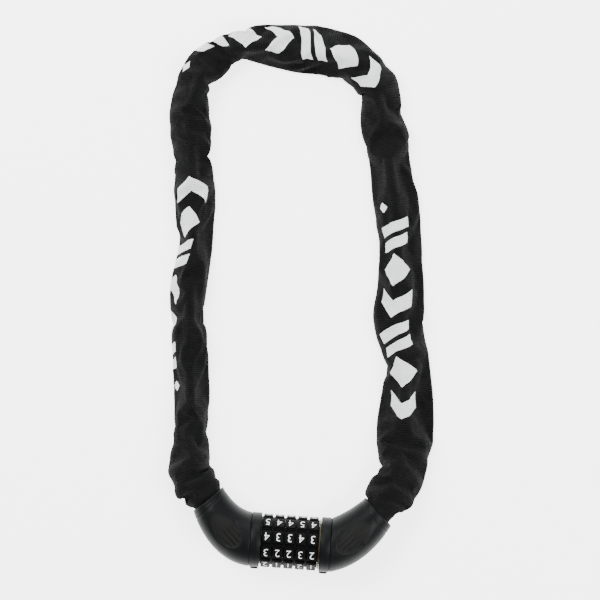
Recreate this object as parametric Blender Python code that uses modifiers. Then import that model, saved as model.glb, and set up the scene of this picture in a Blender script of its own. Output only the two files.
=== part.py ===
"""Combination chain lock, closed and lying flat.

Five number dials sit between two elbow covers, and a steel chain in a woven sleeve runs from one elbow round to the
other. Metres, +Z up. The lock's own axis runs along +X, from the dial half (left) to the bolt half (right), and the
chain loop goes away along +Y. The table is z = 0 and the origin is at the middle of the object's box, on the table.
"""

import math

import bmesh
import bpy
from mathutils import Matrix, Vector

# ---- driving dimensions: lock body ----
LOCK_CENTRE = Vector((0.0069, -0.16775, 0.0190))  # on the dial axis, at the middle dial
LOCK_ROLL = math.radians(8)  # the index marks lie this far below the horizon
DIAL_COUNT = 5
DIGITS = 10
DIGIT_STEP = math.tau / DIGITS
SHOWN_CODE = (1, 0, 0, 1, 0)  # the number that each dial holds at the index mark
DIAL_PITCH = 0.0079
DIAL_WIDTH = 0.0076
DIAL_RADIUS = 0.0183
RIM_WIDTH = 0.0063
SHOULDER_RADIUS = 0.0166
GROOVE_WIDTH = 0.0027
GROOVE_DEPTH = 0.0009
DIAL_BORE = 0.0139  # across the corners of the ten-sided bore

RING_WIDTH = 0.0073
RING_RADIUS = 0.0134  # across the corners of the ten-sided code ring
RING_FREE_RADIUS = 0.0109
RING_WEB_RADIUS = 0.0081
RING_WEB_START = -0.0002  # the web fills the ring from here to its right face
GATE_WIDTH = 0.0040
GATE_RADIUS = 0.0103

TUBE_RADIUS = 0.0070
TUBE_BORE = 0.0053
TUBE_LEFT, TUBE_RIGHT = -0.0292, 0.0225
SLOT_WIDTH = 0.0038
SLOT_START = -0.0194
SPRING_SEAT = 0.0061  # height of the flat on the tube where the detent spring lies
SEAT_WIDTH = 0.0040
LEAF_WIDTH, LEAF_THICK = 0.0028, 0.0005
FINGER_PEAK, FINGER_FOOT, FINGER_TIP = 0.0097, 0.0013, 0.0003  # height, and half widths at the foot and the tip

WASHER_BORE, WASHER_RADIUS, WASHER_THICK, WASHER_GAP = 0.0073, 0.0106, 0.0003, 0.0003
SPRING_TURNS, SPRING_WIRE, SPRING_MEAN_RADIUS = 3.5, 0.0012, 0.0093
SPRING_LENGTH, SPRING_BEHIND = 0.0070, 0.0015  # the spring ends this far behind the first code ring
SPRING_POINTS = 12  # for each turn

CAM_BEFORE, CAM_AFTER = 0.0010, 0.0012  # past the tube's end, and short of the bolt's tip
LOBE_SIZE = (0.0050, 0.0126, 0.0012)
CAM_SLOT_SIZE = (0.0012, 0.0080, 0.0040)

BOLT_RADIUS = 0.0049
BOLT_LEFT, BOLT_RIGHT = -0.0205, 0.0300
TOOTH_LENGTH, TOOTH_WIDTH, TOOTH_RADIUS = 0.0026, 0.0030, 0.0098
TOOTH_OFFSET = -0.0019  # from the middle of a dial to the middle of its tooth
TIP_CONE, TIP_TAPER = 0.0015, 0.0002

PACK_END = DIAL_COUNT * DIAL_PITCH / 2
PLATE_START, PLATE_THICK, PLATE_RADIUS = PACK_END + 0.0003, 0.0008, 0.0172

COLLAR_RADIUS, COLLAR_INNER, COLLAR_WIDTH = 0.0189, 0.0163, 0.0070
COLLAR_FLANGE, FLANGE_BORE = 0.0020, 0.0110
LEFT_COLLAR, RIGHT_COLLAR = PACK_END + 0.0004, PACK_END + 0.0014  # distance of each inner face
SIDES = ((-1, LEFT_COLLAR), (1, RIGHT_COLLAR))
INDEX_HEIGHT, INDEX_WIDTH, INDEX_LENGTH = 0.0009, 0.0034, 0.0056

ELBOW_GAP = 0.0003
ELBOW_RUN = Vector((-0.0308, 0.0252, 0))  # from the elbow's start to the middle of its mouth, left side
ELBOW_BEND = math.radians(47)  # the mouth faces this far off the axis
PIN_BEND = math.radians(55)  # the chain leaves the pin this far off the axis
ELBOW_HANDLES = (0.009, 0.018)
ELBOW_START_RADIUS, ELBOW_MOUTH_RADIUS = 0.0190, 0.0132
ELBOW_START_BORE, ELBOW_MOUTH_BORE = 0.0165, 0.0124
ELBOW_STATIONS = 8
ELBOW_SIDES = 20
GRIP_AT, GRIP_ANGLE = Vector((-0.0171, 0.0055, 0)), math.radians(-53)  # from the elbow's start
GRIP_SIZE, GRIP_HEIGHT = Vector((0.0160, 0.0092, 0.0030)), 0.0181

SCREW_HEAD, SCREW_SHANK = 0.0015, 0.0009  # radii
SCREW_AT = 0.0130  # the screws' height above the axis
SCREW_HEAD_START, SCREW_HEAD_END, SCREW_END = 0.0003, 0.0011, 0.0080  # from the collar's inner face
SCREW_SEAT, SCREW_HOLE_END = 0.0014, 0.0083
DRIVER_SLOT = (0.0005, 0.0050, 0.0008)

ANCHOR_RADIUS = 0.0144
ANCHOR_DISC = 0.0098
ANCHOR_GAP = 0.0002  # behind the collar's flange
ARM_ROOT = 0.0085  # half the arm's width where it leaves the disc
EAR_RADIUS, EAR_HEIGHT = 0.0062, 0.0070
FORK_GAP = 0.0034  # half the gap that takes the end link
FORK_SIZE, FORK_BACK = (0.0300, 0.0300, 2 * FORK_GAP), 0.0045  # the gap starts behind the pin by half less this
SPRING_POCKET = (0.0108, -0.0289, -0.0200)  # radius, and from where to where along the axis
TUBE_SOCKET_LENGTH = 0.0132
PIN_INSIDE = 0.0100  # how far the chain pin stands inside the mouth
PIN_RADIUS, PIN_HEIGHT = 0.0027, 0.0074
CLEARANCE = 0.0003
PAST = 0.0010  # how far a cutter reaches past what it cuts
MERGE = 0.000005  # points closer than this are one point

# ---- driving dimensions: chain and sleeve ----
LINK_COUNT = 29
LINK_BAR = 0.0054
LINK_WIDTH = 0.0182
LINK_INNER_RANGE = (0.020, 0.032)  # the inner length is found between these
LINK_ARC_POINTS = 6
FABRIC = 0.0008
CHAIN_HEIGHT = 0.0103  # of the chain's middle above the table
SLEEVE_HALF_HEIGHT = 0.0103
SLEEVE_STEP = 0.0150
SLEEVE_SIDES = 12
SLEEVE_FULLNESS = 0.6  # how far the section's superellipse power is above a plain oval's
SLEEVE_FLATTEN = 0.12
ROUND_UP_TO, FLAT_FROM = 0.0109, 0.0125  # half widths between which the section changes
CORNER_GAP = 0.0020  # between sleeve sections where the chain is hinged
CORNER_LINKS = (13, 18)  # the sleeve divides after these links
SLEEVE_TUCK = 0.0025  # how far the sleeve goes into a mouth
MOUTH_SLEEVE_RADIUS = 0.0103

# The route of the chain between the two pins: x and y from the middle dial, height and half the sleeve's width.
ROUTE = [
    (-0.0646, 0.0337, 0.0181, 0.0109),
    (-0.0708, 0.0447, 0.0168, 0.0140),
    (-0.0736, 0.0592, 0.0146, 0.0135),
    (-0.0748, 0.0767, 0.0120, 0.0130),
    (-0.0756, 0.0987, 0.0105, 0.0125),
    (-0.0786, 0.1247, 0.0103, 0.0130),
    (-0.0818, 0.1607, 0.0103, 0.0130),
    (-0.0815, 0.1967, 0.0103, 0.0130),
    (-0.0846, 0.2287, 0.0103, 0.0140),
    (-0.0876, 0.2607, 0.0103, 0.0145),
    (-0.0911, 0.2887, 0.0103, 0.0140),
    (-0.0892, 0.3107, 0.0103, 0.0140),
    (-0.0801, 0.3287, 0.0103, 0.0140),
    (-0.0648, 0.3377, 0.0103, 0.0140),
    (-0.0433, 0.3409, 0.0103, 0.0140),
    (-0.0138, 0.3405, 0.0103, 0.0150),
    (0.0092, 0.3377, 0.0103, 0.0150),
    (0.0252, 0.3312, 0.0103, 0.0155),
    (0.0362, 0.3177, 0.0103, 0.0160),
    (0.0432, 0.2963, 0.0103, 0.0150),
    (0.0502, 0.2587, 0.0103, 0.0145),
    (0.0587, 0.2127, 0.0103, 0.0150),
    (0.0630, 0.1747, 0.0103, 0.0155),
    (0.0677, 0.1397, 0.0103, 0.0155),
    (0.0716, 0.1117, 0.0105, 0.0165),
    (0.0727, 0.0897, 0.0112, 0.0180),
    (0.0726, 0.0717, 0.0130, 0.0185),
    (0.0711, 0.0567, 0.0151, 0.0170),
    (0.0681, 0.0447, 0.0169, 0.0140),
    (0.0644, 0.0342, 0.0181, 0.0105),
]
ROUTE_DETAIL = 16  # straight pieces between two points of the route

CUTTERS = "cutters"
PART = "chain_lock"


# ---- scene, materials and objects ----
def clear_scene():
    for obj in list(bpy.data.objects):
        bpy.data.objects.remove(obj)


def collection(name, shown):
    made = bpy.data.collections.new(name)
    made.hide_render = not shown
    bpy.context.scene.collection.children.link(made)
    return made


def material(name, colour, roughness, metallic=0.0):
    made = bpy.data.materials.new(name)
    made.use_nodes = True
    shader = made.node_tree.nodes["Principled BSDF"]
    shader.inputs["Base Color"].default_value = (*colour, 1)
    shader.inputs["Roughness"].default_value = roughness
    shader.inputs["Metallic"].default_value = metallic
    return made


def add(name, data, finish=None, matrix=None):
    """A part with a material, or a cutter when it has none."""
    obj = bpy.data.objects.new(name, data)
    if matrix is not None:
        obj.matrix_world = matrix
    if finish is None:
        obj.hide_render = True
        obj.display_type = "WIRE"
        bpy.data.collections[CUTTERS].objects.link(obj)
    else:
        data.materials.clear()
        data.materials.append(finish)
        bpy.data.collections[PART].objects.link(obj)
    return obj


def mesh_from(build):
    """A mesh filled in by a function that works on a bmesh."""
    work = bmesh.new()
    build(work)
    mesh = bpy.data.meshes.new("shape")
    work.to_mesh(mesh)
    work.free()
    return mesh


def box(size, centre=(0, 0, 0)):
    matrix = Matrix.Translation(centre) @ Matrix.Diagonal((*size, 1))
    return mesh_from(lambda work: bmesh.ops.create_cube(work, size=1, matrix=matrix))


def cylinder(radius, low, high, sides=24, top_radius=None):
    """A cylinder, or a cone, along the local z axis from low to high."""
    matrix = Matrix.Translation((0, 0, (low + high) / 2))
    return mesh_from(
        lambda work: bmesh.ops.create_cone(
            work,
            cap_ends=True,
            segments=sides,
            radius1=radius,
            radius2=radius if top_radius is None else top_radius,
            depth=high - low,
            matrix=matrix,
        )
    )


def turned(profile, steps):
    """A ring turned about the local z axis from a closed outline of (radius, height) points."""
    mesh = bpy.data.meshes.new("profile")
    points = [(r, 0, z) for r, z in profile]
    edges = [(i, (i + 1) % len(points)) for i in range(len(points))]
    mesh.from_pydata(points, edges, [])
    obj = bpy.data.objects.new("profile", mesh)
    bpy.context.scene.collection.objects.link(obj)
    screw = obj.modifiers.new("Turn", "SCREW")
    screw.steps = screw.render_steps = steps
    screw.use_merge_vertices = True
    screw.merge_threshold = MERGE
    return realised(obj)


def extruded(outline, thickness):
    """A closed flat outline in the local xy plane, as thick as given about z = 0."""
    curve = bpy.data.curves.new("outline", "CURVE")
    curve.dimensions = "2D"
    curve.fill_mode = "BOTH"
    curve.extrude = thickness / 2
    spline = curve.splines.new("POLY")
    spline.points.add(len(outline) - 1)
    for point, (x, y) in zip(spline.points, outline):
        point.co = (x, y, 0, 1)
    spline.use_cyclic_u = True
    obj = bpy.data.objects.new("outline", curve)
    bpy.context.scene.collection.objects.link(obj)
    return realised(obj)


def wire_mesh(points, radius, cyclic=False):
    """A round bar along the points, closed into a loop if asked."""
    curve = bpy.data.curves.new("wire", "CURVE")
    curve.dimensions = "3D"
    curve.bevel_depth = radius
    curve.bevel_resolution = 1
    curve.use_fill_caps = not cyclic
    spline = curve.splines.new("POLY")
    spline.points.add(len(points) - 1)
    for place, point in zip(spline.points, points):
        place.co = (*point, 1)
    spline.use_cyclic_u = cyclic
    obj = bpy.data.objects.new("wire", curve)
    bpy.context.scene.collection.objects.link(obj)
    return realised(obj)


def lofted(rings, closed):
    """A skin through rings of points. When closed, the last ring joins the first and the skin is a shell."""

    def build(work):
        rows = [[work.verts.new(p) for p in ring] for ring in rings]
        for low, high in zip(rows, rows[1:] + rows[:1] if closed else rows[1:]):
            for i in range(len(low)):
                j = (i + 1) % len(low)
                work.faces.new((low[i], low[j], high[j], high[i]))
        bmesh.ops.recalc_face_normals(work, faces=work.faces)

    return mesh_from(build)


def mirrored(mesh):
    """The mesh turned into its mirror image across x = 0."""
    mesh.transform(Matrix.Diagonal((-1, 1, 1, 1)))
    mesh.flip_normals()
    return mesh


def realised(obj):
    """The object's evaluated shape as a new closed mesh with its faces outward. The object is removed."""
    bpy.context.view_layer.update()
    graph = bpy.context.evaluated_depsgraph_get()
    mesh = bpy.data.meshes.new_from_object(obj.evaluated_get(graph))
    mesh.transform(obj.matrix_world)
    bpy.data.objects.remove(obj)
    work = bmesh.new()
    work.from_mesh(mesh)
    bmesh.ops.remove_doubles(work, verts=work.verts, dist=MERGE)
    bmesh.ops.recalc_face_normals(work, faces=work.faces)
    work.to_mesh(mesh)
    work.free()
    return mesh


def boolean(obj, other, operation="DIFFERENCE"):
    modifier = obj.modifiers.new(operation.title(), "BOOLEAN")
    modifier.operation = operation
    modifier.object = other


def smooth(obj, angle=math.radians(35)):
    obj.data.shade_smooth()
    obj.data.set_sharp_from_angle(angle=angle)


def on_axis(x=0.0, roll=0.0):
    """The matrix that lays local z along the lock's axis, at x from its middle, and turns it by the roll."""
    place = Matrix.Translation(LOCK_CENTRE + Vector((x, 0, 0)))
    return place @ Matrix.Rotation(roll, 4, "X") @ Matrix.Rotation(math.pi / 2, 4, "Y")


# ---- the lock's core: tube, rings, dials, bolt ----
def dial_x(index):
    return (index - (DIAL_COUNT - 1) / 2) * DIAL_PITCH


def dial_mesh():
    half, rim, low = DIAL_WIDTH / 2, RIM_WIDTH / 2, DIAL_BORE - PAST
    profile = [
        (low, -half),
        (SHOULDER_RADIUS, -half),
        (SHOULDER_RADIUS, -rim),
        (DIAL_RADIUS, -rim),
        (DIAL_RADIUS, rim),
        (SHOULDER_RADIUS, rim),
        (SHOULDER_RADIUS, half),
        (low, half),
    ]
    blank = add("dial_blank", turned(profile, 2 * DIGITS))
    boolean(blank, add("dial_bore", cylinder(DIAL_BORE, -half - PAST, half + PAST, DIGITS)))
    depth = 2 * GROOVE_DEPTH
    slab = (depth, GROOVE_WIDTH, DIAL_WIDTH + 2 * PAST)
    for k in range(DIGITS):
        turn = Matrix.Rotation((k + 0.5) * DIGIT_STEP - math.pi / 2, 4, "Z")
        boolean(blank, add(f"groove_{k}", box(slab), matrix=turn @ Matrix.Translation((DIAL_RADIUS, 0, 0))))
    return realised(blank)


def code_ring_mesh():
    half = RING_WIDTH / 2
    profile = [
        (RING_FREE_RADIUS, -half),
        (RING_RADIUS, -half),
        (RING_RADIUS, half),
        (RING_WEB_RADIUS, half),
        (RING_WEB_RADIUS, RING_WEB_START),
        (RING_FREE_RADIUS, RING_WEB_START),
    ]
    ring = turned(profile, DIGITS)
    ring.transform(Matrix.Rotation(DIGIT_STEP / 2, 4, "Z"))
    blank = add("ring_blank", ring)
    gate = box((GATE_WIDTH, GATE_RADIUS, RING_WIDTH), (0, -GATE_RADIUS / 2, half + 2 * RING_WEB_START))
    boolean(blank, add("gate", gate))
    return realised(blank)


def build_dials(plastic, zinc):
    dial, ring = dial_mesh(), code_ring_mesh()
    for k in range(DIAL_COUNT):
        place = on_axis(dial_x(k), LOCK_ROLL)
        turn = Matrix.Rotation(SHOWN_CODE[k] * DIGIT_STEP, 4, "Z")
        smooth(add(f"dial_{k + 1}", dial, plastic, place @ turn))
        add(f"code_ring_{k + 1}", ring, zinc, place)


def build_core_tube(zinc):
    left = [(TUBE_BORE, TUBE_LEFT), (TUBE_RADIUS, TUBE_LEFT)]
    right = [(TUBE_RADIUS, TUBE_RIGHT), (TUBE_BORE, TUBE_RIGHT)]
    tube = add("core_tube", turned(left + right, 24), zinc, on_axis(0, LOCK_ROLL))
    length = TUBE_RIGHT - SLOT_START + PAST
    reach = TUBE_RADIUS + PAST
    slot = box((SLOT_WIDTH, reach, length), (0, -reach / 2 - PAST, SLOT_START + length / 2))
    boolean(tube, add("tube_slot", slot, matrix=on_axis(0, LOCK_ROLL)))
    seat = box((SEAT_WIDTH, 2 * PAST, 2 * (PAST - SLOT_START)), (0, SPRING_SEAT + PAST, 0))
    boolean(tube, add("spring_seat", seat, matrix=on_axis(0, LOCK_ROLL)))
    smooth(tube)


def build_bolt(steel):
    rod = cylinder(BOLT_RADIUS, BOLT_LEFT + TIP_CONE, BOLT_RIGHT, 16)
    bolt = add("bolt", rod, steel, on_axis(0, LOCK_ROLL))
    tip_end = BOLT_LEFT + TIP_CONE + CLEARANCE
    tip = cylinder(BOLT_RADIUS - TIP_CONE, BOLT_LEFT, tip_end, 16, BOLT_RADIUS - TIP_TAPER)
    boolean(bolt, add("bolt_tip", tip, matrix=on_axis(0, LOCK_ROLL)), "UNION")
    height = TOOTH_RADIUS - BOLT_RADIUS / 2
    for k in range(DIAL_COUNT):
        tooth = box((TOOTH_WIDTH, height, TOOTH_LENGTH), (0, -BOLT_RADIUS / 2 - height / 2, 0))
        place = on_axis(dial_x(k) + TOOTH_OFFSET, LOCK_ROLL)
        boolean(bolt, add(f"tooth_{k + 1}", tooth, matrix=place), "UNION")
    smooth(bolt)


def build_detent_spring(steel):
    """A leaf with one raised finger for each dial, lying on the tube's flat opposite its slot."""
    base = SPRING_SEAT + CLEARANCE
    face = base + LEAF_THICK
    end = -SLOT_START - CLEARANCE
    outline = [(-end, base), (-end, face)]
    for k in range(DIAL_COUNT):
        x = dial_x(k) + TOOTH_OFFSET
        outline += [(x - FINGER_FOOT, face), (x - FINGER_TIP, FINGER_PEAK)]
        outline += [(x + FINGER_TIP, FINGER_PEAK), (x + FINGER_FOOT, face)]
    outline += [(end, face), (end, base)]
    strip = extruded(outline, LEAF_WIDTH)
    # The outline's x runs along the axis and its y stands away from it.
    lay = on_axis(0, LOCK_ROLL) @ Matrix.Rotation(-math.pi / 2, 4, "Y")
    add("detent_spring", strip, steel, lay)


def build_stack_ends(zinc, steel):
    """The plate that keeps the dials on the tube, the washer behind the first ring and the reset spring.

    The plate is slotted, so that the bolt's teeth can leave through it.
    """
    plate = [
        (TUBE_RADIUS + CLEARANCE, 0),
        (PLATE_RADIUS, 0),
        (PLATE_RADIUS, PLATE_THICK),
        (TUBE_RADIUS + CLEARANCE, PLATE_THICK),
    ]
    end_plate = add("end_plate", turned(plate, 32), zinc, on_axis(PLATE_START))
    way_out = box((SLOT_WIDTH, GATE_RADIUS, PLATE_THICK + 2 * PAST), (0, -GATE_RADIUS / 2, 0))
    middle = on_axis(PLATE_START + PLATE_THICK / 2, LOCK_ROLL)
    boolean(end_plate, add("teeth_way_out", way_out, matrix=middle))
    smooth(end_plate)
    first = dial_x(0) - RING_WIDTH / 2
    washer = [(WASHER_BORE, 0), (WASHER_RADIUS, 0), (WASHER_RADIUS, WASHER_THICK), (WASHER_BORE, WASHER_THICK)]
    add("thrust_washer", turned(washer, 20), steel, on_axis(first - WASHER_GAP - WASHER_THICK))
    low = first - SPRING_BEHIND - SPRING_LENGTH
    count = int(SPRING_TURNS * SPRING_POINTS)
    points = []
    for i in range(count + 1):
        angle = math.tau * i / SPRING_POINTS
        across, up = SPRING_MEAN_RADIUS * math.cos(angle), SPRING_MEAN_RADIUS * math.sin(angle)
        points.append((across, up, low + SPRING_LENGTH * i / count))
    add("reset_spring", wire_mesh(points, SPRING_WIRE / 2), steel, on_axis())


def build_reset_cam(zinc):
    """The cam at the closed end of the bore. A slot in its face takes the tool that turns it."""
    low, high = TUBE_LEFT - CAM_BEFORE, BOLT_LEFT - CAM_AFTER
    cam = add("reset_cam", cylinder(TUBE_BORE - CLEARANCE, low, high, 20), zinc, on_axis())
    lobe = box(LOBE_SIZE, (0, 0, low))
    boolean(cam, add("cam_lobe", lobe, matrix=on_axis()), "UNION")
    slot = box(CAM_SLOT_SIZE, (0, 0, high))
    boolean(cam, add("cam_slot", slot, matrix=on_axis()))


# ---- collars, elbows, anchors and pins ----
def build_collar(side, name, start, plastic):
    """A ring with a flange facing the dials and a raised index mark. side is -1 left, 1 right."""
    near, far = side * start, side * (start + COLLAR_WIDTH)
    flange = side * (start + COLLAR_FLANGE)
    profile = [
        (FLANGE_BORE, near),
        (COLLAR_RADIUS, near),
        (COLLAR_RADIUS, far),
        (COLLAR_INNER, far),
        (COLLAR_INNER, flange),
        (FLANGE_BORE, flange),
    ]
    collar = add(name, turned(profile, 32), plastic, on_axis(0, LOCK_ROLL))
    middle = side * (start + INDEX_LENGTH / 2 + ANCHOR_GAP)
    height = INDEX_HEIGHT + PAST
    mark = box((INDEX_WIDTH, height, INDEX_LENGTH), (0, -COLLAR_RADIUS - INDEX_HEIGHT + height / 2, middle))
    boolean(collar, add(name + "_mark", mark, matrix=on_axis(0, LOCK_ROLL)), "UNION")
    seat = cylinder(SCREW_HEAD + CLEARANCE, start - PAST, start + SCREW_SEAT, 12)
    boolean(collar, add(name + "_seat", seat, matrix=screw_place(side)))
    hole = cylinder(SCREW_SHANK + CLEARANCE, start, start + COLLAR_FLANGE + PAST, 12)
    boolean(collar, add(name + "_hole", hole, matrix=screw_place(side)))
    smooth(collar)


def screw_place(side):
    """Local z away from the dials, on the line where the cover screw goes in."""
    out = Matrix.Translation(LOCK_CENTRE + Vector((0, 0, SCREW_AT)))
    return out @ Matrix.Rotation(side * math.pi / 2, 4, "Y")


def build_cover_screw(side, name, start, steel):
    head = cylinder(SCREW_HEAD, start + SCREW_HEAD_START, start + SCREW_HEAD_END, 12)
    screw = add(name, head, steel, screw_place(side))
    shank = cylinder(SCREW_SHANK, start + SCREW_HEAD_END - CLEARANCE, start + SCREW_END, 12)
    boolean(screw, add(name + "_shank", shank, matrix=screw_place(side)), "UNION")
    slot = box(DRIVER_SLOT, (0, 0, start + SCREW_HEAD_START))
    boolean(screw, add(name + "_slot", slot, matrix=screw_place(side)))


def heading(bend):
    """Away from the dials on the left side, turned off the axis by the angle."""
    return Vector((-math.cos(bend), math.sin(bend), 0))


def elbow_rings(radius, mouth_radius):
    """Circles square to the left elbow's centreline, from its start at x = 0 to its mouth."""
    a = Vector((0, 0, 0))
    d = a + ELBOW_RUN
    b = a + heading(0) * ELBOW_HANDLES[0]
    c = d - heading(ELBOW_BEND) * ELBOW_HANDLES[1]
    rings = []
    for i in range(ELBOW_STATIONS):
        t = i / (ELBOW_STATIONS - 1)
        u = 1 - t
        point = a * u**3 + b * 3 * u * u * t + c * 3 * u * t * t + d * t**3
        way = ((b - a) * u * u + (c - b) * 2 * u * t + (d - c) * t * t).normalized()
        side, reach = Vector((0, 0, 1)).cross(way), radius + (mouth_radius - radius) * t
        angles = [math.tau * (k + 0.5) / ELBOW_SIDES for k in range(ELBOW_SIDES)]
        rings.append([point + reach * (side * math.cos(v) + Vector((0, 0, math.sin(v)))) for v in angles])
    return rings


def right_elbow_mesh():
    """The right elbow's shell about its start, with a thumb recess above and below."""
    outside = elbow_rings(ELBOW_START_RADIUS, ELBOW_MOUTH_RADIUS)
    inside = elbow_rings(ELBOW_START_BORE, ELBOW_MOUTH_BORE)
    shell = add("elbow_shell", mirrored(lofted(outside + inside[::-1], True)), matrix=Matrix())
    for face in (-1, 1):
        at = GRIP_AT + Vector((0, 0, face * GRIP_HEIGHT))
        shape = Matrix.Translation(at) @ Matrix.Rotation(GRIP_ANGLE, 4, "Z") @ Matrix.Diagonal((*GRIP_SIZE, 1))
        grip = mesh_from(lambda work: bmesh.ops.create_uvsphere(work, u_segments=14, v_segments=8, radius=1))
        grip.transform(shape)
        boolean(shell, add(f"grip_{face}", mirrored(grip)))
    return realised(shell)


def build_elbows(plastic):
    right = right_elbow_mesh()
    left = mirrored(right.copy())
    for side, word, mesh, start in ((-1, "left", left, LEFT_COLLAR), (1, "right", right, RIGHT_COLLAR)):
        place = LOCK_CENTRE + Vector((side * (start + COLLAR_WIDTH + ELBOW_GAP), 0, 0))
        smooth(add(f"{word}_elbow_cover", mesh, plastic, Matrix.Translation(place)))


def pin_place(side, start):
    """The chain pin's middle, in the lock's frame, for the side whose collar starts there."""
    start += COLLAR_WIDTH + ELBOW_GAP
    at = Vector((-start, 0, 0)) + ELBOW_RUN - heading(PIN_BEND) * PIN_INSIDE
    return Vector((-side * at.x, at.y, 0))


def mouth_place(side, start):
    start += COLLAR_WIDTH + ELBOW_GAP
    at = Vector((-start, 0, 0)) + ELBOW_RUN
    return Vector((-side * at.x, at.y, 0))


def build_anchor(side, name, start, bore, zinc):
    """A disc behind the collar and a forked arm that reaches along the elbow to the chain pin."""
    near = start + COLLAR_FLANGE + ANCHOR_GAP
    anchor = add(name, cylinder(ANCHOR_RADIUS, side * near, side * (near + ANCHOR_DISC), 24), zinc, on_axis())
    pin = pin_place(side, start)
    root = Vector((side * (near + ANCHOR_DISC / 2), 0, 0))
    arm = extruded(arm_outline(root, pin), 2 * EAR_HEIGHT)
    boolean(anchor, add(name + "_arm", arm, matrix=Matrix.Translation(LOCK_CENTRE)), "UNION")
    inward = (pin - mouth_place(side, start)).normalized()
    fork = Matrix.Translation(LOCK_CENTRE + pin - inward * FORK_BACK)
    fork = fork @ inward.to_track_quat("X", "Z").to_matrix().to_4x4()
    boolean(anchor, add(name + "_fork", box(FORK_SIZE), matrix=fork))
    hole = cylinder(PIN_RADIUS + CLEARANCE, -EAR_HEIGHT - PAST, EAR_HEIGHT + PAST, 16)
    boolean(anchor, add(name + "_pin_hole", hole, matrix=Matrix.Translation(LOCK_CENTRE + pin)))
    for k, (radius, low, high) in enumerate(bore):
        cut = cylinder(radius, low, high, 24)
        boolean(anchor, add(f"{name}_bore_{k}", cut, matrix=on_axis()))
    screw_hole = cylinder(SCREW_SHANK + CLEARANCE, start, start + SCREW_HOLE_END, 12)
    boolean(anchor, add(name + "_screw_hole", screw_hole, matrix=screw_place(side)))
    smooth(anchor)


def arm_outline(root, pin):
    """A tapered arm from a wide root to a round end about the pin."""
    way = (pin - root).normalized()
    across = Vector((-way.y, way.x, 0))
    outline = [root + across * ARM_ROOT, root - across * ARM_ROOT]
    steps = 8
    for i in range(steps + 1):
        angle = math.pi * i / steps - math.pi / 2
        outline.append(pin + EAR_RADIUS * (way * math.cos(angle) + across * math.sin(angle)))
    return [(p.x, p.y) for p in outline]


def build_pin(side, name, start, steel):
    place = Matrix.Translation(LOCK_CENTRE + pin_place(side, start))
    smooth(add(name, cylinder(PIN_RADIUS, -PIN_HEIGHT, PIN_HEIGHT, 16), steel, place))


# ---- chain ----
def smooth_route():
    """Dense points (x, y, z, half width) on one smooth curve from the left pin to the right one."""
    ends = [Vector((*(LOCK_CENTRE + pin_place(s, c)), MOUTH_SLEEVE_RADIUS)) for s, c in SIDES]
    shift = Vector((LOCK_CENTRE.x, LOCK_CENTRE.y, 0, 0))
    points = [ends[0], *(Vector(p) + shift for p in ROUTE), ends[1]]
    padded = [2 * points[0] - points[1], *points, 2 * points[-1] - points[-2]]
    dense = []
    for i in range(1, len(padded) - 2):
        p0, p1, p2, p3 = padded[i - 1 : i + 3]
        for k in range(ROUTE_DETAIL):
            t = k / ROUTE_DETAIL
            bend = (2 * p0 - 5 * p1 + 4 * p2 - p3) * t**2 + (3 * p1 - p0 - 3 * p2 + p3) * t**3
            dense.append(0.5 * (2 * p1 + (p2 - p0) * t + bend))
    dense.append(points[-1])
    return dense


def link_pitch(index, inner):
    """Between one link's pivots: a flat link's are its neighbours' bars, an upright link's are its own bars."""
    return inner + LINK_BAR if index % 2 else inner - LINK_BAR - 2 * CLEARANCE


def march(dense, inner):
    """The links' pivots in turn along the route, and the distance left to its end, negative when it is overrun."""
    found, i = [dense[0].xyz], 0
    for k in range(LINK_COUNT):
        here, pitch = found[-1], link_pitch(k, inner)
        while i < len(dense) - 1 and (dense[i + 1].xyz - here).length < pitch:
            i += 1
        if i == len(dense) - 1:
            return found, -1.0
        near, far = (dense[i].xyz - here).length, (dense[i + 1].xyz - here).length
        found.append(dense[i].xyz.lerp(dense[i + 1].xyz, (pitch - near) / (far - near)))
    return found, (dense[-1].xyz - found[-1]).length


def chain_joints(dense):
    """The links' pivots from pin to pin, with the one inner length that makes the chain just fill the route."""
    low, high = LINK_INNER_RANGE
    for _ in range(40):
        inner = (low + high) / 2
        if march(dense, inner)[1] > 0:
            low = inner
        else:
            high = inner
    return march(dense, low)[0], low


def link_mesh(inner):
    """One stadium-shaped link in its local xy plane, long along x."""
    turn = (LINK_WIDTH - LINK_BAR) / 2
    straight = (inner + LINK_BAR) / 2 - turn
    points = []
    for end in (1, -1):
        for i in range(LINK_ARC_POINTS):
            angle = math.pi * (i / (LINK_ARC_POINTS - 1) - 0.5) + (0 if end > 0 else math.pi)
            points.append((end * straight + turn * math.cos(angle), turn * math.sin(angle), 0))
    return wire_mesh(points, LINK_BAR / 2, cyclic=True)


def build_links(joints, inner, steel):
    """Links lie flat and stand upright by turns."""
    mesh = link_mesh(inner)
    mesh.shade_smooth()
    for k in range(LINK_COUNT):
        a, b = joints[k], joints[k + 1]
        along = (b - a).normalized()
        side = Vector((0, 0, 1)).cross(along).normalized()
        axes = Matrix((along, side, along.cross(side))).transposed().to_4x4()
        turn = Matrix.Rotation(math.pi / 2 if k % 2 else 0, 4, "X")
        add(f"chain_link_{k + 1:02d}", mesh, steel, Matrix.Translation((a + b) / 2) @ axes @ turn)


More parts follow.
